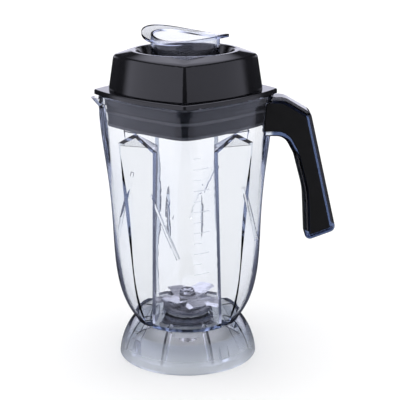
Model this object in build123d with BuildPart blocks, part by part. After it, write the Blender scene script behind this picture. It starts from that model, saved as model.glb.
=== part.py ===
from build123d import *
from math import cos, radians, sin, sqrt, tan
import os

# A clear blender jar with its lid, filler cap and blade drive, in millimetres, +Z up.
# The origin is on the jar's axis, in the plane that the base stands on. The jar's section is a
# square with its corners on the X and Y axes: the handle is on +X and the spout on -X.

os.makedirs("parts", exist_ok=True)

# Jar body: distances from the axis to a corner and to the middle of a side, at five heights
rim_height = 254.5
rim_corner = 80.0
rim_face = 66.8
belly_height = 112.0
belly_corner = 70.2
belly_face = 59.6
knee_height = 67.0
knee_corner = 65.1
knee_face = 57.0
bowl_height = 50.0
bowl_corner = 59.0
bowl_face = 54.4
foot_height = 36.0
foot_radius = 49.5
round_bow = 0.2  # how far the corners stand out where a section is all but round
corner_turn = 37.0  # half the angle that a corner's arc turns through
wall = 3.5
floor_thickness = 5.0

# Rim bead and spout
bead_height = 7.0
bead_depth = 1.6
bead_round = 1.2
spout_tip = 88.0  # axis to the lip
spout_drop = 3.3  # lip below the rim
spout_radius = 13.0
spout_lean = 40.0
spout_wall = 2.6

# Grooves that press in the four sides, each a V under a gabled top
groove_gap = 3.0  # apex of the gable on the outside, below the lid seal
groove_valley_top = 40.0  # axis to the valley, at the height of the apex
groove_valley_foot = 46.0  # axis to the valley, at the foot
groove_half_angle = 44.5
gable_slope = 25.0
gable_dip = 30.0  # the gable's ridge falls inwards

# Slanting ribs on the inside of the corners
slant_rib_radius = 1.7
slant_rib_depth = 3.3  # rib's ends below the outside of the wall
slant_rib_top = 0.42  # share of the way from the belly to the rim
slant_rib_foot = 0.015
slant_rib_start = 30.0  # angle from the corner
slant_rib_end = 6.0

# Base skirt
base_radius = 66.5
base_step = 0.8  # skirt's top stands out round the bowl's foot
base_wall = 4.0
base_bulge = 3.6
base_land = 7.0  # straight wall that seats on the motor base
base_rib_count = 8
base_rib_width = 2.2
base_rib_depth = 9.0
base_lug_count = 4
base_lug_width = 9.0
base_lug_depth = 6.0
base_lug_height = 20.0
base_lug_angle = 36.0
boss_radius = 24.0
boss_height = 8.0

# Handle, in the plane of the handle: distances out from the axis and down from its top
handle_drop = 2.5  # handle's top below the rim
handle_width = 27.0
handle_web = 7.0  # clear wall between the two grip inserts
handle_frame_width = 5.0
handle_round = 4.5
root_inside = 62.0
root_out = 66.0
root_depth = 36.7
brow_out = 91.0
shoulder_out = 115.8
shoulder_depth = 14.8
heel_out = 141.8
heel_depth = 128.0
toe_out = 112.6
toe_depth = 139.0
palm_out = 110.0
palm_depth = 90.0
crook_out = 100.5
crook_depth = 54.0
web_out = 91.0
brow_round = 18.0
shoulder_round = 8.0
heel_round = 6.0
toe_round = 5.0
palm_round = 70.0
crook_round = 30.0
web_round = 12.0
insert_clearance = 0.15
insert_sink = 0.4
insert_round = 1.0

# Lid
flange_thickness = 4.2
flange_corner = 84.7
flange_face = 69.5
flange_turn = 28.5
flange_round = 1.2
dome_corner = 71.3
dome_face = 61.5
dome_height = 32.0  # flange to shoulder
dome_shoulder_corner = 66.2
dome_shoulder_face = 56.6
dome_turn = 23.0
dome_round = 4.0
crown_rise = 4.7
crown_radius = 50.0
lid_wall = 3.0
funnel_radius = 45.8
funnel_foot_radius = 38.0
funnel_depth = 23.0
funnel_round = 2.0
lid_skirt_depth = 28.5
lid_skirt_wall = 2.6
cap_collar_depth = 10.0

# Lid seal
seal_thickness = 3.6
seal_clearance = 0.4
seal_lip_count = 3
seal_lip_height = 3.2
seal_lip_depth = 1.2

# Filler cap
cap_radius = 31.8
cap_clearance = 0.5
cap_wall = 2.4
cap_depth = 14.0  # below the seat
cap_shoulder_radius = 36.5
cap_shoulder_thickness = 3.0
brim_radius = 40.0
brim_thickness = 2.8
brim_height = 33.9  # lowest line of the brim's top above the seat
brim_offset = 6.5  # axis to that line
brim_relief = 8.6  # highest point of the brim's top above that line
brim_turn = -34.0

# Blade drive
shaft_radius = 4.0
shaft_end = 1.0  # shaft beyond the nut
gasket_thickness = 1.5
gasket_radius = 22.0
housing_radius = 15.0
housing_fit = 0.2
housing_flange_radius = 23.0
housing_flange_thickness = 3.5
housing_dome_radius = 19.0
housing_dome_height = 3.2
housing_tail = 12.5  # housing below the boss
blade_gap = 0.8
spacer_radius = 5.5
sleeve_clearance = 0.5
spacer_flange_radius = 9.0
spacer_flange_thickness = 1.2
seal_ring_radius = 8.5
seal_ring_height = 4.0
running_fit = 0.05
bearing_radius = 11.0
bearing_width = 7.0
bearing_centres = 16.0
ball_radius = 1.95
ball_count = 7
race_gap = 3.2  # between the inner and the outer race
circlip_thickness = 1.2
circlip_depth = 0.8
circlip_width = 1.8
circlip_gap = 8.0
retainer_washer_radius = 22.0
retainer_washer_thickness = 1.5
retainer_nut_flats = 44.0
retainer_nut_height = 9.0
thread_fit = 0.05
spline_core_radius = 7.2
spline_radius = 9.4
spline_teeth = 12
spline_tooth_width = 2.2
spline_length = 7.5
spline_collar = 3.5

# Blades
blade_thickness = 1.6
blade_hub_radius = 11.0
blade_reach = 31.0
wing_root_width = 21.0
wing_tip_width = 17.0
wing_bevel = 4.0
upper_rise = 8.0
lower_rise = -12.0
upper_turn = 50.0
middle_turn = 110.0
lower_turn = 170.0
blade_washer_radius = 8.0
blade_washer_thickness = 1.0
blade_nut_flats = 12.0
blade_nut_height = 5.0
nut_chamfer = 0.8

# Heights that follow from these
floor_top = foot_height + floor_thickness
boss_bottom = foot_height - boss_height
seal_bottom = rim_height - lid_skirt_depth
groove_top = seal_bottom - groove_gap
handle_top = rim_height - handle_drop
flange_top = rim_height + flange_thickness
dome_top = flange_top + dome_height
crown_top = dome_top + crown_rise
seat_height = crown_top - funnel_depth
spout_height = rim_height - spout_drop
housing_flange_bottom = floor_top + gasket_thickness
housing_flange_top = housing_flange_bottom + housing_flange_thickness
housing_top = housing_flange_top + housing_dome_height
housing_bottom = boss_bottom - housing_tail
upper_bearing_top = housing_flange_bottom
upper_bearing_bottom = upper_bearing_top - bearing_width
lower_bearing_bottom = upper_bearing_bottom - bearing_centres
seal_ring_top = upper_bearing_top + seal_ring_height
spacer_flange_bottom = housing_top + blade_gap
lower_blade_bottom = spacer_flange_bottom + spacer_flange_thickness
middle_blade_bottom = lower_blade_bottom + blade_thickness
upper_blade_bottom = middle_blade_bottom + blade_thickness
blade_washer_bottom = upper_blade_bottom + blade_thickness
blade_nut_bottom = blade_washer_bottom + blade_washer_thickness
shaft_top = blade_nut_bottom + blade_nut_height + shaft_end
spline_top = lower_bearing_bottom - spline_collar
spline_bottom = spline_top - spline_length
overcut = 10.0  # how far a cutting shape runs past what it cuts
stand = (Align.CENTER, Align.CENTER, Align.MIN)


def polar(radius, angle):
    """Point at a radius and an angle in degrees about the axis."""
    return (radius * cos(radians(angle)), radius * sin(radians(angle)))


def bowed_square(height, corner, face, turn):
    """Section at a height: a square with bowed sides and its round corners on the X and Y axes."""
    lean = radians(turn)
    reach = (corner - face) / (cos(lean) + (sqrt(2) - 1) * sin(lean) - 1)
    corner_radius = face + reach * (sqrt(2) * sin(lean) - 1)
    side_radius = corner_radius + reach
    with BuildSketch(Plane.XY.offset(height)) as section:
        with BuildLine():
            for quarter in range(4):
                turned = 90 * quarter
                corner_centre = polar(corner - corner_radius, turned)
                side_centre = polar(face - side_radius, turned + 45)
                CenterArc(corner_centre, corner_radius, turned - turn, 2 * turn)
                CenterArc(side_centre, side_radius, turned + turn, 90 - 2 * turn)
        make_face()
    return section.sketch


def straight_wall(height):
    """Corner and face distance of the jar's outside above the belly, where the wall is straight."""
    share = (height - belly_height) / (rim_height - belly_height)
    corner = belly_corner + share * (rim_corner - belly_corner)
    face = belly_face + share * (rim_face - belly_face)
    return corner, face


def jar_section(height, corner, face, inset=0.0):
    """Section of the jar, taken in from its outside by an inset."""
    return bowed_square(height, corner - inset, face - inset, corner_turn)


def groove_cutter(skin):
    """Space outside the jar in a groove that opens along +X, grown on all sides by a skin."""
    far = rim_corner + overcut
    flank = tan(radians(groove_half_angle))
    rise = (groove_valley_foot - groove_valley_top) / (groove_top - foot_height)
    with BuildPart() as cutter:
        for height in (foot_height - overcut, rim_height + overcut):
            valley = groove_valley_foot - rise * (height - foot_height)
            valley -= skin / sin(radians(groove_half_angle))
            spread = flank * (far - valley)
            with BuildSketch(Plane.XY.offset(height)):
                with BuildLine():
                    Polyline((valley, 0), (far, -spread), (far, spread), close=True)
                make_face()
        loft(ruled=True)
        apex_face = straight_wall(groove_top)[1]
        apex = groove_top + (far - apex_face) * tan(radians(gable_dip))
        apex += skin / cos(radians(gable_slope)) / cos(radians(gable_dip))
        eave = apex - far * tan(radians(gable_slope))
        with BuildSketch(Plane.YZ.offset(far)):
            with BuildLine():
                Polyline((-far, -far), (far, -far), (far, eave), (0, apex), (-far, eave), close=True)
            make_face()
        inwards = (-cos(radians(gable_dip)), 0, -sin(radians(gable_dip)))
        extrude(amount=2 * far, dir=inwards, mode=Mode.INTERSECT)
    return cutter.part


def slant_rib():
    """Round rib in the wall of the corner on -Y, from its left side down to its middle."""
    ends = []
    for share, angle in ((slant_rib_top, slant_rib_start), (slant_rib_foot, slant_rib_end)):
        height = belly_height + share * (rim_height - belly_height)
        corner, face = straight_wall(height)
        radius = corner + (face - corner) * sin(radians(2 * angle)) - slant_rib_depth
        ends.append(Vector(*polar(radius, -90 - angle), height))
    start, end = ends
    with BuildPart() as rib:
        with BuildSketch(Plane(origin=start, z_dir=end - start)):
            Circle(slant_rib_radius)
        extrude(amount=(end - start).length)
    return rib.part


def handle_outline():
    """Outline of the handle in the XZ plane, from its root in the jar's wall."""
    corners = [
        (root_inside, 0, 0),
        (brow_out, 0, brow_round),
        (shoulder_out, shoulder_depth, shoulder_round),
        (heel_out, heel_depth, heel_round),
        (toe_out, toe_depth, toe_round),
        (palm_out, palm_depth, palm_round),
        (crook_out, crook_depth, crook_round),
        (web_out, root_depth, web_round),
        (root_inside, root_depth, 0),
    ]
    points = [(out, handle_top - depth) for out, depth, _ in corners]
    rounds = [corner[2] for corner in corners]
    with BuildSketch(Plane.XZ) as outline:
        with BuildLine():
            FilletPolyline(*points, radius=rounds, close=True)
        make_face()
    return outline.sketch


# Jar body
jar_levels = [
    (foot_height, foot_radius, foot_radius - round_bow),
    (bowl_height, bowl_corner, bowl_face),
    (knee_height, knee_corner, knee_face),
    (belly_height, belly_corner, belly_face),
    ((belly_height + rim_height) / 2, *straight_wall((belly_height + rim_height) / 2)),
    (rim_height, rim_corner, rim_face),
]
outside_sections = [jar_section(*level) for level in jar_levels]
inside_sections = [jar_section(floor_top, foot_radius, foot_radius - round_bow)]
inside_sections += [jar_section(*level, inset=wall) for level in jar_levels[1:]]
mouth_height = rim_height + overcut
inside_sections += [jar_section(mouth_height, *straight_wall(mouth_height), inset=wall)]
quarter_turns = [45 + 90 * quarter for quarter in range(4)]

with BuildPart() as cavity:
    loft(sections=inside_sections)
    for turned in quarter_turns:
        add(groove_cutter(wall), rotation=(0, 0, turned), mode=Mode.SUBTRACT)

with BuildPart() as bead:
    extrude(jar_section(rim_height - bead_height, rim_corner, rim_face, -bead_depth), bead_height)
    fillet(bead.edges().group_by(Axis.Z)[-1], bead_round)

spout_plane = Plane(
    origin=(spout_radius / cos(radians(spout_lean)) - spout_tip, 0, spout_height),
    z_dir=(-sin(radians(spout_lean)), 0, cos(radians(spout_lean))),
)
spout_length = 3 * spout_radius

with BuildPart() as spout:
    with BuildSketch(spout_plane):
        Circle(spout_radius)
    extrude(amount=spout_length, both=True)
    split(bisect_by=Plane.XY.offset(spout_height), keep=Keep.BOTTOM)

with BuildPart() as spout_channel:
    with BuildSketch(spout_plane):
        Circle(spout_radius - spout_wall)
    extrude(amount=spout_length, both=True)

with BuildPart() as grip_pocket:
    with BuildSketch(Plane.XZ.offset(handle_web / 2)):
        add(handle_outline())
        with Locations(((root_inside + root_out) / 2, handle_top / 2)):
            Rectangle(root_out - root_inside, 2 * handle_top, mode=Mode.SUBTRACT)
        offset(amount=-handle_frame_width)
    extrude(amount=handle_width)
    mirror(about=Plane.XZ)

with BuildPart() as handle_frame:
    extrude(handle_outline(), handle_width / 2, both=True)
    fillet(handle_frame.faces().filter_by(Axis.Y).edges(), handle_round)
    add(grip_pocket.part, mode=Mode.SUBTRACT)

with BuildPart() as base_envelope:
    with BuildSketch(Plane.XZ):
        with BuildLine():
            shoulder = foot_radius + base_step
            chord_middle = ((shoulder + base_radius) / 2 + base_bulge, foot_height / 2)
            ThreePointArc((shoulder, foot_height), chord_middle, (base_radius, 0))
            Polyline((base_radius, 0), (0, 0), (0, foot_height), (shoulder, foot_height))
        make_face()
    revolve(axis=Axis.Z)

with BuildPart() as base_hollow:
    with BuildSketch(Plane.XZ):
        with BuildLine():
            top_radius = shoulder - base_wall
            hollow_middle = (chord_middle[0] - base_wall, chord_middle[1])
            ThreePointArc((top_radius, foot_height), hollow_middle, (base_radius - base_wall, 0))
            Polyline((base_radius - base_wall, 0), (0, 0), (0, foot_height), (top_radius, foot_height))
        make_face()
    revolve(axis=Axis.Z)
    with BuildSketch():
        Circle(base_radius - base_wall)
    extrude(amount=base_land)

with BuildPart() as base_ribs:
    with BuildSketch(Plane.XZ):
        with BuildLine():
            Polyline(
                (top_radius - base_rib_depth, foot_height),
                (base_radius - base_wall - base_rib_depth, base_land),
                (base_radius, base_land),
                (base_radius, foot_height),
                close=True,
            )
        make_face()
    rib_plate = extrude(amount=base_rib_width / 2, both=True, mode=Mode.PRIVATE)
    with PolarLocations(0, base_rib_count, start_angle=180 / base_rib_count):
        add(rib_plate)
    with PolarLocations(base_radius - base_wall, base_lug_count, start_angle=base_lug_angle):
        with Locations((0, 0, base_land)):
            Box(
                2 * base_lug_depth,
                base_lug_width,
                base_lug_height,
                align=stand,
            )
    add(base_envelope.part, mode=Mode.INTERSECT)

with BuildPart() as jar_body:
    loft(sections=outside_sections)
    for turned in quarter_turns:
        add(groove_cutter(0), rotation=(0, 0, turned), mode=Mode.SUBTRACT)
    add(bead.part)
    add(spout.part)
    add(handle_frame.part)
    add(cavity.part, mode=Mode.SUBTRACT)
    add(spout_channel.part, mode=Mode.SUBTRACT)
    for quarter in range(4):
        add(slant_rib(), rotation=(0, 0, 90 * quarter))
    add(base_envelope.part.cut(base_hollow.part))
    add(base_ribs.part)
    with Locations((0, 0, boss_bottom)):
        Cylinder(boss_radius, boss_height, align=stand)
    with Locations((0, 0, boss_bottom)):
        Cylinder(
            housing_radius + housing_fit,
            boss_height + floor_thickness,
            align=stand,
            mode=Mode.SUBTRACT,
        )
jar_body.part.label = "jar_body"
export_step(jar_body.part, "parts/jar_body.step")

# Grip inserts, each cut to the jar's wall where the handle meets it
with BuildPart() as wall_clearance:
    loft(sections=[jar_section(*level, inset=-insert_clearance) for level in jar_levels])

with BuildPart() as grip_insert_front:
    with BuildSketch(Plane.XZ.offset(handle_web / 2)):
        add(handle_outline())
        with Locations(((root_inside + root_out) / 2, handle_top / 2)):
            Rectangle(root_out - root_inside, 2 * handle_top, mode=Mode.SUBTRACT)
        offset(amount=-handle_frame_width - insert_clearance)
    extrude(amount=(handle_width - handle_web) / 2 - insert_sink)
    fillet(grip_insert_front.faces().sort_by(Axis.Y)[0].edges(), insert_round)
    add(wall_clearance.part, mode=Mode.SUBTRACT)
grip_insert_front.part.label = "grip_insert_front"
export_step(grip_insert_front.part, "parts/grip_insert_front.step")

with BuildPart() as grip_insert_rear:
    mirror(grip_insert_front.part, about=Plane.XZ)
grip_insert_rear.part.label = "grip_insert_rear"
export_step(grip_insert_rear.part, "parts/grip_insert_rear.step")

# Lid
mouth_corner, mouth_face = straight_wall(seal_bottom)
seal_inset = wall + seal_clearance + seal_thickness

with BuildPart() as dome:
    dome_base = bowed_square(flange_top, dome_corner, dome_face, dome_turn)
    dome_shoulder = bowed_square(dome_top, dome_shoulder_corner, dome_shoulder_face, dome_turn)
    crown_ring = bowed_square(crown_top, crown_radius, crown_radius - round_bow, dome_turn)
    loft(sections=[dome_base, dome_shoulder, crown_ring], ruled=True)
    shoulder_edges = dome.edges().filter_by_position(Axis.Z, dome_top, dome_top)
    fillet(shoulder_edges, dome_round)

with BuildPart() as dome_hollow:
    hollow_base = bowed_square(flange_top, dome_corner - lid_wall, dome_face - lid_wall, dome_turn)
    hollow_top = bowed_square(
        dome_top - lid_wall,
        dome_shoulder_corner - lid_wall,
        dome_shoulder_face - lid_wall,
        dome_turn,
    )
    loft(sections=[hollow_base, hollow_top], ruled=True)
    skirt_inset = seal_inset + lid_skirt_wall
    skirt_hollow = jar_section(seal_bottom, mouth_corner, mouth_face, skirt_inset)
    extrude(skirt_hollow, flange_top - seal_bottom)

with BuildPart() as flange:
    extrude(bowed_square(rim_height, flange_corner, flange_face, flange_turn), flange_thickness)
    fillet(flange.edges().group_by(Axis.Z)[-1], flange_round)

with BuildPart() as funnel:
    collar_bottom = seat_height - cap_collar_depth
    hole_radius = cap_radius + cap_clearance
    with BuildSketch(Plane.XZ):
        with BuildLine():
            Polyline(
                (funnel_radius, crown_top),
                (funnel_foot_radius, seat_height),
                (hole_radius, seat_height),
                (hole_radius, collar_bottom),
                (hole_radius + lid_wall, collar_bottom),
                (hole_radius + lid_wall, seat_height - lid_wall),
                (funnel_foot_radius + lid_wall, seat_height - lid_wall),
                (funnel_radius + lid_wall, dome_top),
                (funnel_radius + lid_wall, crown_top - lid_wall / 2),
                close=True,
            )
        make_face()
    revolve(axis=Axis.Z)

with BuildPart() as funnel_space:
    with BuildSketch(Plane.XZ):
        with BuildLine():
            Polyline(
                (0, crown_top + overcut),
                (funnel_radius, crown_top + overcut),
                (funnel_radius, crown_top),
                (funnel_foot_radius, seat_height),
                (hole_radius, seat_height),
                (hole_radius, collar_bottom),
                (0, collar_bottom),
                close=True,
            )
        make_face()
    revolve(axis=Axis.Z)

with BuildPart() as lid:
    add(dome.part)
    add(flange.part)
    extrude(jar_section(seal_bottom, mouth_corner, mouth_face, seal_inset), lid_skirt_depth)
    add(dome_hollow.part, mode=Mode.SUBTRACT)
    add(funnel.part)
    add(funnel_space.part, mode=Mode.SUBTRACT)
    funnel_edge = lid.edges().filter_by(GeomType.CIRCLE).group_by(Axis.Z)[-1]
    fillet(funnel_edge, funnel_round)
lid.part.label = "lid"
export_step(lid.part, "parts/lid.step")

# Lid seal
lip_pitch = (lid_skirt_depth - seal_lip_height) / (seal_lip_count - 1)

with BuildPart() as lid_seal:
    core_inset = wall + seal_clearance + seal_lip_depth
    extrude(jar_section(seal_bottom, mouth_corner, mouth_face, core_inset), lid_skirt_depth)
    for lip in range(seal_lip_count):
        lip_height = seal_bottom + lip * lip_pitch
        lip_corner, lip_face = straight_wall(lip_height)
        lip_section = jar_section(lip_height, lip_corner, lip_face, wall + seal_clearance)
        extrude(lip_section, seal_lip_height)
    skirt_section = jar_section(seal_bottom, mouth_corner, mouth_face, seal_inset)
    extrude(skirt_section, lid_skirt_depth, mode=Mode.SUBTRACT)
lid_seal.part.label = "lid_seal"
export_step(lid_seal.part, "parts/lid_seal.step")

# Filler cap: a cup whose brim is a disc bent about a level line to one side of the axis
cap_bottom = seat_height - cap_depth
brim_top = seat_height + brim_height
brim_plane = Plane(
    origin=(*polar(brim_offset, brim_turn), brim_top),
    x_dir=(*polar(1, brim_turn), 0),
    z_dir=(*polar(1, brim_turn - 90), 0),
)
brim_span = brim_radius + brim_offset
brim_under = brim_relief - brim_thickness
cap_tall = cap_depth + brim_height + brim_relief + overcut

with BuildPart() as brim:
    with BuildSketch(brim_plane):
        with BuildLine():
            ThreePointArc((-brim_span, brim_relief), (0, 0), (brim_span, brim_relief))
            Line((brim_span, brim_relief), (brim_span, brim_under))
            ThreePointArc((brim_span, brim_under), (0, -brim_thickness), (-brim_span, brim_under))
            Line((-brim_span, brim_under), (-brim_span, brim_relief))
        make_face()
    extrude(amount=brim_radius, both=True)
    with Locations((0, 0, seat_height)):
        Cylinder(brim_radius, 2 * cap_tall, mode=Mode.INTERSECT)

with BuildPart() as cap_cup:
    with BuildSketch(brim_plane):
        with BuildLine():
            ThreePointArc((-brim_span, brim_under), (0, -brim_thickness), (brim_span, brim_under))
            Polyline(
                (brim_span, brim_under),
                (brim_span, cap_bottom - brim_top),
                (-brim_span, cap_bottom - brim_top),
                (-brim_span, brim_under),
            )
        make_face()
    extrude(amount=brim_radius, both=True)
    with Locations((0, 0, seat_height)):
        Cylinder(cap_radius, 2 * cap_tall, mode=Mode.INTERSECT)

with BuildPart() as filler_cap:
    add(cap_cup.part)
    add(brim.part)
    with Locations((0, 0, seat_height)):
        Cylinder(cap_shoulder_radius, cap_shoulder_thickness, align=stand)
    with Locations((0, 0, cap_bottom + cap_wall)):
        Cylinder(cap_radius - cap_wall, cap_tall, align=stand, mode=Mode.SUBTRACT)
filler_cap.part.label = "filler_cap"
export_step(filler_cap.part, "parts/filler_cap.step")

# Bearing housing, its gasket and the seal round the shaft
with BuildPart() as housing_gasket:
    with BuildSketch(Plane.XY.offset(floor_top)):
        Circle(gasket_radius)
        Circle(housing_radius, mode=Mode.SUBTRACT)
    extrude(amount=gasket_thickness)
housing_gasket.part.label = "housing_gasket"
export_step(housing_gasket.part, "parts/housing_gasket.step")

with BuildPart() as bearing_housing:
    sleeve_hole = spacer_radius + sleeve_clearance
    with BuildSketch(Plane.XZ):
        with BuildLine():
            Polyline(
                (sleeve_hole, housing_top),
                (sleeve_hole, seal_ring_top),
                (seal_ring_radius, seal_ring_top),
                (seal_ring_radius, upper_bearing_top),
                (bearing_radius, upper_bearing_top),
                (bearing_radius, housing_bottom),
                (housing_radius, housing_bottom),
                (housing_radius, housing_flange_bottom),
                (housing_flange_radius, housing_flange_bottom),
                (housing_flange_radius, housing_flange_top),
                (housing_dome_radius, housing_flange_top),
            )
            Line((housing_dome_radius, housing_flange_top), (sleeve_hole, housing_top))
        make_face()
    revolve(axis=Axis.Z)
    with BuildSketch(Plane.XY.offset(lower_bearing_bottom - circlip_thickness)):
        Circle(bearing_radius + circlip_depth)
    extrude(amount=circlip_thickness, mode=Mode.SUBTRACT)
bearing_housing.part.label = "bearing_housing"
export_step(bearing_housing.part, "parts/bearing_housing.step")

with BuildPart() as shaft_seal:
    with BuildSketch(Plane.XY.offset(upper_bearing_top)):
        Circle(seal_ring_radius)
        Circle(spacer_radius + running_fit, mode=Mode.SUBTRACT)
    extrude(amount=seal_ring_height)
shaft_seal.part.label = "shaft_seal"
export_step(shaft_seal.part, "parts/shaft_seal.step")

# Ball bearings
pitch_radius = (shaft_radius + bearing_radius) / 2
groove_radius = ball_radius + running_fit

for place, bottom in (("upper", upper_bearing_bottom), ("lower", lower_bearing_bottom)):
    middle = bottom + bearing_width / 2
    races = (
        ("outer", pitch_radius + race_gap / 2, bearing_radius),
        ("inner", shaft_radius, pitch_radius - race_gap / 2),
    )
    for kind, inside, outside in races:
        with BuildPart() as race:
            with BuildSketch(Plane.XZ):
                with Locations(((inside + outside) / 2, middle)):
                    Rectangle(outside - inside, bearing_width)
                with Locations((pitch_radius, middle)):
                    Circle(groove_radius, mode=Mode.SUBTRACT)
            revolve(axis=Axis.Z)
        race.part.label = f"{place}_{kind}_race"
        export_step(race.part, f"parts/{place}_{kind}_race.step")

    with BuildPart() as balls:
        with Locations((0, 0, middle)):
            with PolarLocations(pitch_radius, ball_count):
                Sphere(ball_radius)
    balls.part.label = f"{place}_bearing_balls"
    export_step(balls.part, f"parts/{place}_bearing_balls.step")

with BuildPart() as bearing_spacer:
    with BuildSketch(Plane.XY.offset(lower_bearing_bottom + bearing_width)):
        Circle(pitch_radius - race_gap / 2)
        Circle(shaft_radius, mode=Mode.SUBTRACT)
    extrude(amount=bearing_centres - bearing_width)
bearing_spacer.part.label = "bearing_spacer"
export_step(bearing_spacer.part, "parts/bearing_spacer.step")

with BuildPart() as bearing_circlip:
    circlip_radius = bearing_radius + circlip_depth
    with BuildSketch(Plane.XY.offset(lower_bearing_bottom - circlip_thickness)):
        Circle(circlip_radius)
        Circle(circlip_radius - circlip_width, mode=Mode.SUBTRACT)
        with Locations((circlip_radius, 0)):
            Rectangle(2 * circlip_radius, circlip_gap, mode=Mode.SUBTRACT)
    extrude(amount=circlip_thickness)
bearing_circlip.part.label = "bearing_circlip"
export_step(bearing_circlip.part, "parts/bearing_circlip.step")

# Retainer under the floor
retainer_nut_top = boss_bottom - retainer_washer_thickness

with BuildPart() as retainer_washer:
    with BuildSketch(Plane.XY.offset(retainer_nut_top)):
        Circle(retainer_washer_radius)
        Circle(housing_radius + housing_fit, mode=Mode.SUBTRACT)
    extrude(amount=retainer_washer_thickness)
retainer_washer.part.label = "retainer_washer"
export_step(retainer_washer.part, "parts/retainer_washer.step")

with BuildPart() as retainer_nut:
    with BuildSketch(Plane.XY.offset(retainer_nut_top - retainer_nut_height)):
        RegularPolygon(retainer_nut_flats / 2, 6, major_radius=False)
        Circle(housing_radius + thread_fit, mode=Mode.SUBTRACT)
    extrude(amount=retainer_nut_height)
    rim_edges = retainer_nut.faces().sort_by(Axis.Z)[0].outer_wire().edges()
    chamfer(rim_edges, nut_chamfer)
retainer_nut.part.label = "retainer_nut"
export_step(retainer_nut.part, "parts/retainer_nut.step")

# Shaft, drive spline and blades
with BuildPart() as drive_shaft:
    with Locations((0, 0, spline_bottom)):
        Cylinder(shaft_radius, shaft_top - spline_bottom, align=stand)
    fillet(drive_shaft.edges().group_by(Axis.Z)[-1], shaft_end)
drive_shaft.part.label = "drive_shaft"
export_step(drive_shaft.part, "parts/drive_shaft.step")

with BuildPart() as drive_spline:
    with BuildSketch(Plane.XY.offset(spline_bottom)):
        Circle(spline_core_radius)
        with PolarLocations(spline_core_radius / 2 + spline_radius / 2, spline_teeth):
            Rectangle(2 * (spline_radius - spline_core_radius), spline_tooth_width)
        Circle(spline_radius, mode=Mode.INTERSECT)
    extrude(amount=spline_length)
    with BuildSketch(Plane.XY.offset(spline_top)):
        Circle(pitch_radius - race_gap / 2)
    extrude(amount=spline_collar)
    with BuildSketch(Plane.XY.offset(spline_bottom)):
        Circle(shaft_radius)
    extrude(amount=spline_length + spline_collar, mode=Mode.SUBTRACT)
drive_spline.part.label = "drive_spline"
export_step(drive_spline.part, "parts/drive_spline.step")

with BuildPart() as blade_spacer:
    sleeve_length = spacer_flange_bottom - upper_bearing_top
    with Locations((0, 0, upper_bearing_top)):
        Cylinder(spacer_radius, sleeve_length, align=stand)
    with Locations((0, 0, spacer_flange_bottom)):
        Cylinder(spacer_flange_radius, spacer_flange_thickness, align=stand)
    Cylinder(shaft_radius, 2 * shaft_top, mode=Mode.SUBTRACT)
blade_spacer.part.label = "blade_spacer"
export_step(blade_spacer.part, "parts/blade_spacer.step")


def blade_wing(bottom, rise, turned):
    """Wing of a blade along a turned X axis: a flat root, then a tapering plate bent up by rise."""
    along = Vector(cos(radians(rise)), 0, sin(radians(rise)))
    hinge_lift = 0 if rise >= 0 else blade_thickness  # the bend's inner line stays on the hub
    hinge = Vector(blade_hub_radius, 0, bottom + hinge_lift)
    length = (blade_reach - blade_hub_radius) / along.X
    under = -hinge_lift
    over = blade_thickness - hinge_lift
    sections = []
    for distance, width in ((0, wing_root_width), (length, wing_tip_width)):
        end = Plane(origin=hinge + along * distance, x_dir=(0, 1, 0), z_dir=along)
        with BuildSketch(end) as section:
            with BuildLine():
                Polyline(
                    (-width / 2, under),
                    (width / 2, under),
                    (width / 2, over),
                    (wing_bevel - width / 2, over),
                    close=True,
                )
            make_face()
        sections.append(section.sketch)
    with BuildPart() as wing:
        loft(sections=sections, ruled=True)
        with Locations((0, 0, bottom)):
            root_align = (Align.MIN, Align.CENTER, Align.MIN)
            Box(blade_hub_radius, wing_root_width, blade_thickness, align=root_align)
    return wing.part.rotate(Axis.Z, turned)


def blade(bottom, rise, turned):
    """Stamped blade: a hub disc and two wings, with their rise and their turn."""
    with BuildPart() as stamping:
        with Locations((0, 0, bottom)):
            Cylinder(blade_hub_radius, blade_thickness, align=stand)
        for half in (0, 180):
            add(blade_wing(bottom, rise, turned + half))
        Cylinder(blade_reach, 2 * shaft_top, mode=Mode.INTERSECT)
        Cylinder(shaft_radius, 2 * shaft_top, mode=Mode.SUBTRACT)
    return stamping.part


with BuildPart() as lower_blade:
    add(blade(lower_blade_bottom, lower_rise, lower_turn))
lower_blade.part.label = "lower_blade"
export_step(lower_blade.part, "parts/lower_blade.step")

with BuildPart() as middle_blade:
    add(blade(middle_blade_bottom, 0, middle_turn))
middle_blade.part.label = "middle_blade"
export_step(middle_blade.part, "parts/middle_blade.step")

with BuildPart() as upper_blade:
    add(blade(upper_blade_bottom, upper_rise, upper_turn))
upper_blade.part.label = "upper_blade"
export_step(upper_blade.part, "parts/upper_blade.step")

with BuildPart() as blade_washer:
    with BuildSketch(Plane.XY.offset(blade_washer_bottom)):
        Circle(blade_washer_radius)
        Circle(shaft_radius, mode=Mode.SUBTRACT)
    extrude(amount=blade_washer_thickness)
blade_washer.part.label = "blade_washer"
export_step(blade_washer.part, "parts/blade_washer.step")

with BuildPart() as blade_nut:
    with BuildSketch(Plane.XY.offset(blade_nut_bottom)):
        RegularPolygon(blade_nut_flats / 2, 6, major_radius=False)
        Circle(shaft_radius, mode=Mode.SUBTRACT)
    extrude(amount=blade_nut_height)
    chamfer(blade_nut.faces().sort_by(Axis.Z)[-1].outer_wire().edges(), nut_chamfer)
blade_nut.part.label = "blade_nut"
export_step(blade_nut.part, "parts/blade_nut.step")
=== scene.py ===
import math

import bpy
from mathutils import Matrix, Vector


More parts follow.
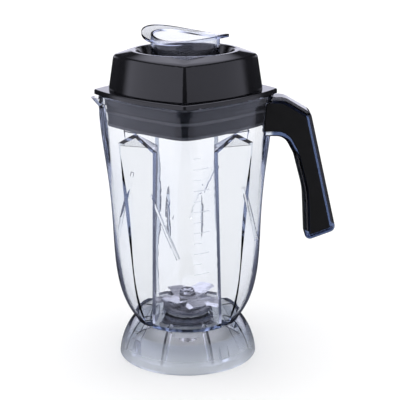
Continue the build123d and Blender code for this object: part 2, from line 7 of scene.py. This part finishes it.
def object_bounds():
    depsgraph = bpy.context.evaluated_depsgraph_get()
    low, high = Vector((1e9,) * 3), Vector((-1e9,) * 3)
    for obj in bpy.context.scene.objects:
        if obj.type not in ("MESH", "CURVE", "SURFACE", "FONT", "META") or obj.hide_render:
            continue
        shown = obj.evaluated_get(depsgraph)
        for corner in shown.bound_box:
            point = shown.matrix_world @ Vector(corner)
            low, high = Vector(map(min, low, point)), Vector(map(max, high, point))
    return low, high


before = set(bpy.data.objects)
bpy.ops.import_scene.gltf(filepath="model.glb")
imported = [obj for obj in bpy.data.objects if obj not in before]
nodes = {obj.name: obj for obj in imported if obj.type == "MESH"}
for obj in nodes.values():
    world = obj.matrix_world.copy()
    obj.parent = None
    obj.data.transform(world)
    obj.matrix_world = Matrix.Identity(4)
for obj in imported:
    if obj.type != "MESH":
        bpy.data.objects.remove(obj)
cad_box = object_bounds()
scene = bpy.context.scene


class Graph:
    """A node tree and a few short ways to add nodes to it."""

    def __init__(self, tree):
        self.tree = tree

    def node(self, kind, **settings):
        made = self.tree.nodes.new(kind)
        for key, value in settings.items():
            setattr(made, key, value)
        return made

    def feed(self, socket, value):
        """Link an output to a socket, or set the socket to a number or a colour."""
        if isinstance(value, bpy.types.NodeSocket):
            self.tree.links.new(value, socket)
        elif isinstance(value, tuple):
            socket.default_value = (*value, 1) if len(socket.default_value) == 4 else value
        else:
            socket.default_value = value

    def math(self, operation, *values):
        made = self.node("ShaderNodeMath", operation=operation)
        for socket, value in zip(made.inputs, values):
            self.feed(socket, value)
        return made.outputs["Value"]

    def product(self, first, *others):
        for other in others:
            first = self.math("MULTIPLY", first, other)
        return first

    def ramp(self, value, low, high, start=0.3, end=0.7):
        """Value spread smoothly from low to high over a range, which is a noise's usual one."""
        made = self.node("ShaderNodeMapRange", interpolation_type="SMOOTHSTEP")
        for socket, number in (("Value", value), ("From Min", start), ("From Max", end), ("To Min", low),
                               ("To Max", high)):
            self.feed(made.inputs[socket], number)
        return made.outputs["Result"]

    def rise(self, value, start, end):
        return self.ramp(value, 0.0, 1.0, start, end)

    def fall(self, value, start, end):
        return self.ramp(value, 1.0, 0.0, start, end)

    def blend(self, factor, first, second):
        made = self.node("ShaderNodeMix", data_type="RGBA")
        self.feed(made.inputs["Factor"], factor)
        self.feed(made.inputs["A"], first)
        self.feed(made.inputs["B"], second)
        return made.outputs["Result"]

    def parts(self, vector):
        split = self.node("ShaderNodeSeparateXYZ")
        self.feed(split.inputs["Vector"], vector)
        return split.outputs["X"], split.outputs["Y"], split.outputs["Z"]


class Shader(Graph):
    """A material with one surface shader."""

    def __init__(self, name, **sockets):
        self.material = bpy.data.materials.new(name)
        self.material.use_nodes = True
        super().__init__(self.material.node_tree)
        self.surface = self.tree.nodes["Principled BSDF"]
        self.place = self.node("ShaderNodeTexCoord").outputs["Object"]
        for socket, value in sockets.items():
            self.set(socket.replace("_", " "), value)

    def set(self, socket, value):
        self.feed(self.surface.inputs[socket], value)

    def noise(self, scale, detail=2.0, roughness=0.5, stretch=None):
        """Noise over the object's coordinates, or over those coordinates stretched along the axes."""
        place = self.place
        if stretch:
            mapping = self.node("ShaderNodeMapping")
            self.feed(mapping.inputs["Scale"], stretch)
            self.feed(mapping.inputs["Vector"], place)
            place = mapping.outputs["Vector"]
        made = self.node("ShaderNodeTexNoise")
        self.feed(made.inputs["Scale"], scale)
        self.feed(made.inputs["Detail"], detail)
        self.feed(made.inputs["Roughness"], roughness)
        self.feed(made.inputs["Vector"], place)
        return made.outputs["Fac"]

    def colour(self, pattern, first, second):
        self.set("Base Color", self.blend(pattern, first, second))

    def rough(self, pattern, low, high):
        self.set("Roughness", self.ramp(pattern, low, high))

    def bump(self, height, distance, strength):
        made = self.node("ShaderNodeBump")
        self.feed(made.inputs["Strength"], strength)
        self.feed(made.inputs["Distance"], distance)
        self.feed(made.inputs["Height"], height)
        self.set("Normal", made.outputs["Normal"])

    def absorb(self, colour, density):
        volume = self.node("ShaderNodeVolumeAbsorption")
        self.feed(volume.inputs["Color"], colour)
        self.feed(volume.inputs["Density"], density)
        self.feed(self.tree.nodes["Material Output"].inputs["Volume"], volume.outputs["Volume"])


def dress(shader, *names):
    for name in names:
        slots = nodes[name].data.materials
        slots.clear()
        slots.append(shader.material)


# Clear plastic of the jar, with slow waves from the moulding. The handle's frame gets a deep blue painted
# shade, standing in for the dark look its rims take from the black inserts. It is frosted on the outside of
# the base skirt, with the frost's colour painted paler towards the foot as painted light.
plastic_index = 1.5
plastic_tints = ((0.98, 0.985, 0.99), (0.985, 0.99, 0.995))
plastic_roughness = (0.012, 0.03)
# where the painted shade of the handle's frame begins, and its deep blue colour
frame_shade_start = (0.078, 0.082)  # distance from the axis, towards the handle
frame_painted_shade_colour = (0.13, 0.17, 0.29)
facing_out = 0.002  # least outward lean of a face, times its distance from the axis
frost_end = (0.025, 0.028)  # height
frost_roughness = 0.14
skirt_foot = 0.002
skirt_top = 0.026
# frost colours at the foot and top of the skirt, paler at the foot as painted light
painted_light_foot_colour = (0.88, 0.93, 1.0)
top_colour = (0.74, 0.80, 0.94)
foot_milk = -0.36  # change that the frost makes in the share of clear light
top_milk = -0.16

clear = Shader("clear_copolyester", IOR=plastic_index)
x, y, z = clear.parts(clear.place)
outward = clear.node("ShaderNodeCombineXYZ")
clear.feed(outward.inputs["X"], x)
clear.feed(outward.inputs["Y"], y)
surface = clear.node("ShaderNodeNewGeometry").outputs
lean = clear.node("ShaderNodeVectorMath", operation="DOT_PRODUCT")
clear.feed(lean.inputs[0], surface["True Normal"])
clear.feed(lean.inputs[1], outward.outputs["Vector"])
hit_side = clear.math("MULTIPLY_ADD", surface["Backfacing"], -2.0, 1.0)
outside = clear.math("GREATER_THAN", clear.product(lean.outputs["Value"], hit_side), facing_out)
frost = clear.product(outside, clear.fall(z, *frost_end))
glassy = clear.blend(clear.noise(scale=40.0), *plastic_tints)
# painted shade: the handle's frame is coloured deep blue by its distance from the axis
glassy_with_painted_frame_shade = clear.blend(clear.rise(x, *frame_shade_start), glassy, frame_painted_shade_colour)
# painted light: the frost's colour grows paler towards the foot of the skirt
frost_painted_paler_to_foot = clear.blend(clear.rise(z, skirt_foot, skirt_top), painted_light_foot_colour, top_colour)

# Plain level marks, moulded rough in the right front wall, every second one longer
mark_step = 0.01
mark_edge = (0.0003, 0.0006)  # distance from the mark's middle
mark_start = 0.007
long_end = 0.021
short_end = 0.014
long_reach = (0.003, 0.005)  # distance from the middle of a long mark
front_wall = -0.03
lowest_mark = 0.085
highest_mark = 0.215
mark_colour = (0.84, 0.87, 0.92)
mark_roughness = 0.3

line = clear.fall(clear.math("PINGPONG", z, mark_step / 2), *mark_edge)
mark_end = clear.ramp(clear.math("PINGPONG", z, mark_step), long_end, short_end, *long_reach)
marks = clear.product(
    line,
    outside,
    clear.math("GREATER_THAN", x, mark_start),
    clear.math("LESS_THAN", x, mark_end),
    clear.math("LESS_THAN", y, front_wall),
    clear.math("GREATER_THAN", z, lowest_mark),
    clear.math("LESS_THAN", z, highest_mark),
)

clear.colour(marks, clear.blend(frost, glassy_with_painted_frame_shade, frost_painted_paler_to_foot), mark_colour)
polish = clear.ramp(clear.noise(scale=160.0, detail=3.0), *plastic_roughness)
polish = clear.math("MULTIPLY_ADD", frost, frost_roughness, polish)
clear.set("Roughness", clear.math("MULTIPLY_ADD", marks, mark_roughness, polish))
milk = clear.ramp(z, foot_milk, top_milk, 0.0, skirt_top)
clear.set("Transmission Weight", clear.math("MULTIPLY_ADD", frost, milk, 1.0))
clear.bump(clear.noise(scale=22.0, detail=1.0), distance=0.0004, strength=0.2)
clear.absorb(colour=(0.26, 0.37, 0.56), density=24.0)
dress(clear, "jar_body")

cap_clear = Shader("clear_cap", Transmission_Weight=1.0, IOR=plastic_index)
cap_clear.colour(cap_clear.noise(scale=40.0), *plastic_tints)
cap_clear.rough(cap_clear.noise(scale=160.0, detail=3.0), *plastic_roughness)
cap_clear.bump(cap_clear.noise(scale=30.0, detail=1.0), distance=0.0004, strength=0.3)
cap_clear.absorb(colour=(0.20, 0.30, 0.58), density=40.0)
dress(cap_clear, "filler_cap")

# Black plastics and rubbers
gloss = Shader("black_gloss", Coat_Weight=0.2, Coat_Roughness=0.06)
gloss.colour(gloss.noise(scale=60.0), (0.004, 0.004, 0.005), (0.007, 0.007, 0.009))
gloss.rough(gloss.noise(scale=140.0, detail=4.0), low=0.07, high=0.13)
gloss.bump(gloss.noise(scale=900.0), distance=0.00004, strength=0.2)
dress(gloss, "lid")

# The seal's three lips carry pale patchy lines, a painted highlight along each lip
lowest_lip = 0.2276
lip_spacing = 0.01265
lip_edge = (0.0008, 0.0016)  # distance from the lip's middle
below_lips = -0.002
lip_highlight_colour = (0.10, 0.104, 0.122)
lip_highlight_strength = (0.6, 1.0)

rubber = Shader("black_rubber", Specular_IOR_Level=0.12)
above_lip = rubber.math("SUBTRACT", rubber.parts(rubber.place)[2], lowest_lip)
off_lip = rubber.math("PINGPONG", above_lip, lip_spacing / 2)
# painted highlight: pale patchy bands along the middle of each lip
painted_lip_highlights = rubber.product(
    rubber.fall(off_lip, *lip_edge),
    rubber.math("GREATER_THAN", above_lip, below_lips),
    rubber.ramp(rubber.noise(scale=60.0, detail=3.0), *lip_highlight_strength),
)
black = rubber.blend(rubber.noise(scale=80.0, detail=4.0), (0.007, 0.008, 0.012), (0.012, 0.013, 0.019))
rubber.colour(painted_lip_highlights, black, lip_highlight_colour)
rubber.rough(rubber.noise(scale=300.0, detail=3.0), low=0.34, high=0.5)
rubber.bump(rubber.noise(scale=1500.0, detail=3.0), distance=0.00005, strength=0.3)
dress(rubber, "lid_seal", "shaft_seal")

# Small rounds on the edges of the lips
lip_round = 0.0011
sharp_edge = math.radians(40)
weld = nodes["lid_seal"].modifiers.new("weld", "WELD")
weld.merge_threshold = 0.00001
rounds = nodes["lid_seal"].modifiers.new("rounds", "BEVEL")
rounds.width = lip_round
rounds.segments = 3
rounds.limit_method = "ANGLE"
rounds.angle_limit = sharp_edge
rounds.harden_normals = True

silicone = Shader("pale_silicone")
silicone.colour(silicone.noise(scale=90.0, detail=3.0), (0.66, 0.68, 0.72), (0.74, 0.76, 0.80))
silicone.rough(silicone.noise(scale=400.0, detail=3.0), low=0.35, high=0.5)
dress(silicone, "housing_gasket")

grip = Shader("grip_plastic", Specular_IOR_Level=0.3)
grip.colour(grip.noise(scale=90.0, detail=3.0), (0.006, 0.006, 0.007), (0.010, 0.010, 0.011))
grip.rough(grip.noise(scale=400.0, detail=3.0), low=0.3, high=0.42)
grip.bump(grip.noise(scale=2200.0), distance=0.00006, strength=0.5)
inserts = ("grip_insert_front", "grip_insert_rear")
dress(grip, *inserts)

# The inserts are moulded against the clear frame, so their skin meets it with no air between
skin_growth = 0.0002
for name in inserts:
    bond = nodes[name].modifiers.new("bond", "DISPLACE")
    bond.strength = skin_growth
    bond.mid_level = 0.0

# Steels, and the white nut under the floor
brushed = Shader("stainless", Metallic=1.0, Anisotropic=0.3)
grain = brushed.noise(scale=1.0, detail=6.0, roughness=0.6, stretch=(60, 2600, 60))
brushed.colour(grain, (0.76, 0.76, 0.77), (0.90, 0.90, 0.91))
brushed.rough(grain, low=0.2, high=0.3)
brushed.bump(grain, distance=0.00002, strength=0.3)
dress(brushed, "upper_blade", "middle_blade", "lower_blade")

turned = Shader("turned_stainless", Metallic=1.0, Anisotropic=0.3)
rings = turned.noise(scale=1.0, detail=4.0, roughness=0.6, stretch=(80, 80, 3000))
turned.colour(rings, (0.74, 0.74, 0.75), (0.88, 0.88, 0.89))
turned.rough(rings, low=0.2, high=0.3)
turned.bump(rings, distance=0.00002, strength=0.3)
dress(turned, "bearing_housing", "drive_spline", "retainer_washer")

nylon = Shader("white_nylon")
nylon.colour(nylon.noise(scale=120.0, detail=3.0), (0.72, 0.73, 0.75), (0.80, 0.81, 0.82))
nylon.rough(nylon.noise(scale=500.0, detail=3.0), low=0.38, high=0.52)
tool_lines = nylon.noise(scale=1.0, detail=3.0, roughness=0.6, stretch=(200, 200, 2600))
nylon.bump(tool_lines, distance=0.00003, strength=0.3)
dress(nylon, "retainer_nut")

ground = Shader("bearing_steel", Metallic=1.0)
grinding = ground.noise(scale=700.0, detail=3.0)
ground.colour(grinding, (0.70, 0.70, 0.72), (0.80, 0.80, 0.82))
ground.rough(grinding, low=0.06, high=0.14)
dress(ground, "drive_shaft", "blade_spacer", "blade_washer", "blade_nut")
dress(ground, "upper_outer_race", "upper_inner_race", "upper_bearing_balls")
dress(ground, "lower_outer_race", "lower_inner_race", "lower_bearing_balls")
dress(ground, "bearing_spacer", "bearing_circlip")

# Pale floor. Where it is seen after a mirroring it is dim, and dimmest near the jar.
floor_reach = 9.0
floor_drop = 0.0002
near_jar = (0.12, 0.4)  # sideways distance
floor_corners = [(-1, -1), (1, -1), (1, 1), (-1, 1)]
floor_mesh = bpy.data.meshes.new("floor")
floor_mesh.from_pydata([(floor_reach * a, floor_reach * b, 0) for a, b in floor_corners], [], [(0, 1, 2, 3)])
floor = bpy.data.objects.new("floor", floor_mesh)
scene.collection.objects.link(floor)
floor.location.z = cad_box[0][2] - floor_drop
paper = Shader("floor_paper", Roughness=0.9)
pale = paper.blend(paper.noise(scale=3.0), (0.91, 0.91, 0.91), (0.93, 0.93, 0.93))
mirrored = paper.math("MINIMUM", paper.node("ShaderNodeLightPath").outputs["Glossy Depth"], 1.0)
sideways = paper.math("ABSOLUTE", paper.parts(paper.place)[0])
dim = paper.blend(paper.rise(sideways, *near_jar), (0.05, 0.055, 0.07), (0.30, 0.33, 0.38))
paper.colour(mirrored, pale, dim)
floor_mesh.materials.append(paper.material)
floor.visible_glossy = False

# Even white light all round. What shines mirrors a dark studio with a soft light overhead, one at each side
# and a pale backdrop low behind. The ranges are of a direction's share to the right, away and up.
white_strength = 1.26
studio_dark = 0.04
overhead_strength = 1.8
overhead_range = (0.5, 0.8)
overhead_growth = 0.17  # the overhead light reaches lower where it is seen through the plastic
backdrop_strength = 1.25
backdrop_away = (0.55, 0.8)
backdrop_foot = (-0.03, 0.01)
backdrop_top = (0.18, 0.28)
left_strength = 0.95
right_strength = 0.65
left_to_right = (-0.5, 0.5)
side_range = (0.40, 0.54)
side_foot = (-0.55, -0.45)
side_top = (0.28, 0.36)
side_away = (0.2, 0.4)

world = bpy.data.worlds.new("studio")
scene.world = world
world.use_nodes = True
world.cycles.sampling_method = "NONE"
sky = Graph(world.node_tree)
back = world.node_tree.nodes["Background"]
right, away, up = sky.parts(sky.node("ShaderNodeTexCoord").outputs["Generated"])
bounces = sky.node("ShaderNodeLightPath").outputs
through = sky.math("MINIMUM", bounces["Transmission Depth"], 1.0)
raised = sky.math("MULTIPLY_ADD", through, overhead_growth, up)
overhead = sky.ramp(raised, studio_dark, overhead_strength, *overhead_range)
behind = sky.product(
    sky.rise(away, *backdrop_away),
    sky.rise(up, *backdrop_foot),
    sky.ramp(up, backdrop_strength, 0.0, *backdrop_top),
)
beside = sky.product(
    sky.rise(sky.math("ABSOLUTE", right), *side_range),
    sky.rise(up, *side_foot),
    sky.ramp(right, left_strength, right_strength, *left_to_right),
    sky.fall(up, *side_top),
    sky.fall(away, *side_away),
)
studio = sky.math("ADD", sky.math("ADD", overhead, behind), beside)
mirrored = sky.math("MINIMUM", bounces["Glossy Depth"], 1.0)
sky.feed(back.inputs["Strength"], sky.ramp(mirrored, white_strength, studio, 0.0, 1.0))
sky.feed(back.inputs["Color"], sky.blend(mirrored, (1.0, 1.0, 1.0), (0.95, 0.95, 1.12)))

# Camera
pitch = math.radians(15.899)
roll = math.radians(-0.292)
camera_place = (0.012762, -1.0, 0.436147)
focal_pixels = 1090.809
frame_pixels = 400
ahead = Vector((0, math.cos(pitch), -math.sin(pitch)))
level_side = Vector((1, 0, 0))
level_over = level_side.cross(ahead)
side = math.cos(roll) * level_side + math.sin(roll) * level_over
over = math.cos(roll) * level_over - math.sin(roll) * level_side
view = bpy.data.cameras.new("camera")
view.sensor_width = 36.0
view.lens = view.sensor_width * focal_pixels / frame_pixels
view.clip_end = 100.0
camera = bpy.data.objects.new("camera", view)
scene.collection.objects.link(camera)
turn = Matrix((side, over, -ahead)).transposed().to_4x4()
camera.matrix_world = Matrix.Translation(camera_place) @ turn
scene.camera = camera

scene.view_settings.view_transform = "Standard"
scene.cycles.max_bounces = 24
scene.cycles.transmission_bounces = 24
scene.cycles.glossy_bounces = 8
